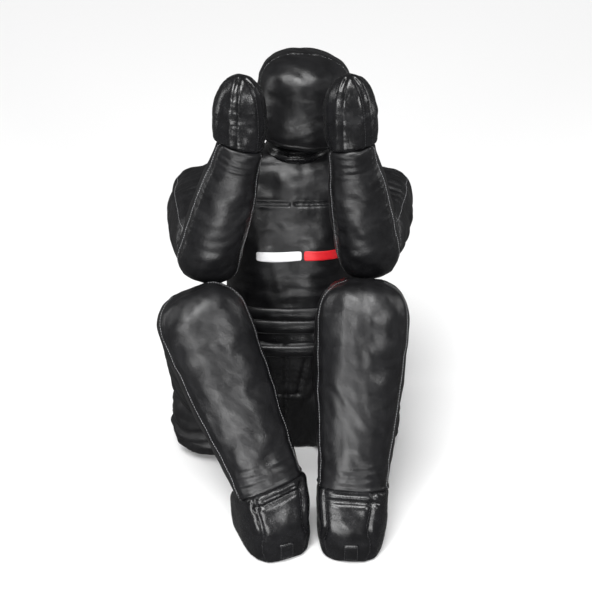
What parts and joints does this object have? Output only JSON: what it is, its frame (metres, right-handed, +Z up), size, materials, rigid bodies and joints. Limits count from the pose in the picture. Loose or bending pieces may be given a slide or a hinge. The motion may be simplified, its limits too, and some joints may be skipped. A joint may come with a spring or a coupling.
{
  "type": "grappling dummy",
  "caption": "Seated stuffed grappling dummy with knees up, forearms raised and mitten hands, jointed at waist, neck, limbs and back zip.",
  "frame": {"origin": "centre of the bounding box's footprint on the floor", "axes": "+Z up, the dummy faces -Y, +X to its own left"},
  "size_m": [0.523, 0.6538, 0.8957],
  "materials": {
    "leather": "black synthetic leather with a fine grain",
    "filling": "bag of packed textile offcuts",
    "zip": "woven black zip tape",
    "metal": "nickel plated"
  },
  "bodies": {
    "pelvis": {"pelvis_cover": "leather", "crotch_panel": "leather", "seat_bottom_panel": "leather", "pelvis_filling": "filling", "waistband_lower": "leather"},
    "chest": {"chest_yoke_panel": "leather", "chest_front_panel": "leather", "chest_back_panel": "leather", "chest_filling": "filling", "waistband_upper": "leather", "waistband_middle": "leather", "zip_tape": "zip"},
    "zip_slider": {"zip_slider": "metal"},
    "zip_pull": {"zip_pull": "metal"},
    "neck": {"neck_collar": "leather", "neck_filling": "filling"},
    "head": {"head_face_panel": "leather", "head_back_panel": "leather", "head_filling": "filling"},
    "shoulder_R": {"shoulder_core_R": "filling"},
    "upper_arm_R": {"upper_arm_cover_R": "leather", "upper_arm_filling_R": "filling"},
    "forearm_R": {"forearm_front_panel_R": "leather", "forearm_back_panel_R": "leather", "forearm_filling_R": "filling"},
    "hand_R": {"hand_gores_R": "leather", "hand_filling_R": "filling"},
    "hip_R": {"hip_core_R": "filling"},
    "thigh_R": {"thigh_cover_R": "leather", "thigh_filling_R": "filling"},
    "shin_R": {"shin_front_panel_R": "leather", "shin_back_panel_R": "leather", "shin_filling_R": "filling"},
    "foot_R": {"foot_cover_R": "leather", "foot_filling_R": "filling", "foot_sole_R": "leather", "toe_tab_R": "leather"},
    "shoulder_L": {"shoulder_core_L": "filling"},
    "upper_arm_L": {"upper_arm_cover_L": "leather", "upper_arm_filling_L": "filling"},
    "forearm_L": {"forearm_front_panel_L": "leather", "forearm_back_panel_L": "leather", "forearm_filling_L": "filling"},
    "hand_L": {"hand_gores_L": "leather", "hand_filling_L": "filling"},
    "hip_L": {"hip_core_L": "filling"},
    "thigh_L": {"thigh_cover_L": "leather", "thigh_filling_L": "filling"},
    "shin_L": {"shin_front_panel_L": "leather", "shin_back_panel_L": "leather", "shin_filling_L": "filling"},
    "foot_L": {"foot_cover_L": "leather", "foot_filling_L": "filling", "foot_sole_L": "leather", "toe_tab_L": "leather"}
  },
  "joints": [
    {"name": "waist_bend", "type": "hinge", "parent": "pelvis", "child": "chest", "pos_m": [0.0015, 0.16862, 0.28521], "axis": [-1, 0, 0], "range_deg": [0, 13]},
    {"name": "zip_slide", "type": "slide", "parent": "chest", "child": "zip_slider", "axis": [0, -0.1219, -0.9925], "range_m": [0, 0.14]},
    {"name": "zip_pull_flip", "type": "hinge", "parent": "zip_slider", "child": "zip_pull", "pos_m": [0.0015, 0.31761, 0.50166], "axis": [1, 0, 0], "range_deg": [-5, 140]},
    {"name": "neck_nod", "type": "hinge", "parent": "chest", "child": "neck", "pos_m": [0.0115, 0.21362, 0.66221], "axis": [1, 0, 0], "range_deg": [-10, 10]},
    {"name": "head_turn", "type": "hinge", "parent": "neck", "child": "head", "pos_m": [0.0115, 0.21362, 0.66221], "axis": [0.1219, 0, 0.9925], "range_deg": [-45, 45]},
    {"name": "shoulder_spread_R", "type": "hinge", "parent": "chest", "child": "shoulder_R", "pos_m": [-0.1885, 0.22362, 0.54221], "axis": [0, 0, -1], "range_deg": [0, 44]},
    {"name": "shoulder_lift_R", "type": "hinge", "parent": "shoulder_R", "child": "upper_arm_R", "pos_m": [-0.1885, 0.22362, 0.54221], "axis": [-1, 0, 0], "range_deg": [0, 20]},
    {"name": "elbow_bend_R", "type": "hinge", "parent": "upper_arm_R", "child": "forearm_R", "pos_m": [-0.1635, 0.02162, 0.51721], "axis": [0.9562, 0.1495, -0.2516], "range_deg": [-4, 50]},
    {"name": "wrist_bend_R", "type": "hinge", "parent": "forearm_R", "child": "hand_R", "pos_m": [-0.0965, -0.01138, 0.75221], "axis": [0.9986, -0.0024, -0.0528], "range_deg": [-13, 13]},
    {"name": "hip_bend_R", "type": "hinge", "parent": "pelvis", "child": "hip_R", "pos_m": [-0.1635, 0.12362, 0.13021], "axis": [1, 0, 0], "range_deg": [0, 30]},
    {"name": "hip_spread_R", "type": "hinge", "parent": "hip_R", "child": "thigh_R", "pos_m": [-0.1635, 0.12362, 0.13021], "axis": [0, 0, -1], "range_deg": [0, 30]},
    {"name": "knee_bend_R", "type": "hinge", "parent": "thigh_R", "child": "shin_R", "pos_m": [-0.1685, -0.09138, 0.40521], "axis": [0.915, 0.3096, 0.2587], "range_deg": [-100, 0]},
    {"name": "ankle_bend_R", "type": "hinge", "parent": "shin_R", "child": "foot_R", "pos_m": [-0.0455, -0.21838, 0.12221], "axis": [-0.9336, -0.3584, 0], "range_deg": [-11, 11]},
    {"name": "shoulder_spread_L", "type": "hinge", "parent": "chest", "child": "shoulder_L", "pos_m": [0.1915, 0.22362, 0.54021], "axis": [0, 0, 1], "range_deg": [0, 44]},
    {"name": "shoulder_lift_L", "type": "hinge", "parent": "shoulder_L", "child": "upper_arm_L", "pos_m": [0.1915, 0.22362, 0.54021], "axis": [-1, 0, 0], "range_deg": [0, 20]},
    {"name": "elbow_bend_L", "type": "hinge", "parent": "upper_arm_L", "child": "forearm_L", "pos_m": [0.1535, 0.02562, 0.52621], "axis": [0.9706, -0.1961, 0.1397], "range_deg": [-4, 50]},
    {"name": "wrist_bend_L", "type": "hinge", "parent": "forearm_L", "child": "hand_L", "pos_m": [0.1135, -0.01138, 0.75221], "axis": [0.9946, 0.0022, 0.1036], "range_deg": [-13, 13]},
    {"name": "hip_bend_L", "type": "hinge", "parent": "pelvis", "child": "hip_L", "pos_m": [0.1395, 0.12362, 0.13021], "axis": [1, 0, 0], "range_deg": [0, 30]},
    {"name": "hip_spread_L", "type": "hinge", "parent": "hip_L", "child": "thigh_L", "pos_m": [0.1395, 0.12362, 0.13021], "axis": [0, 0, 1], "range_deg": [0, 30]},
    {"name": "knee_bend_L", "type": "hinge", "parent": "thigh_L", "child": "shin_L", "pos_m": [0.1395, -0.09138, 0.42021], "axis": [0.9982, -0.0488, -0.0362], "range_deg": [-100, 0]},
    {"name": "ankle_bend_L", "type": "hinge", "parent": "shin_L", "child": "foot_L", "pos_m": [0.1225, -0.21838, 0.12221], "axis": [-0.9986, 0.0523, 0], "range_deg": [-11, 11]}
  ]
}
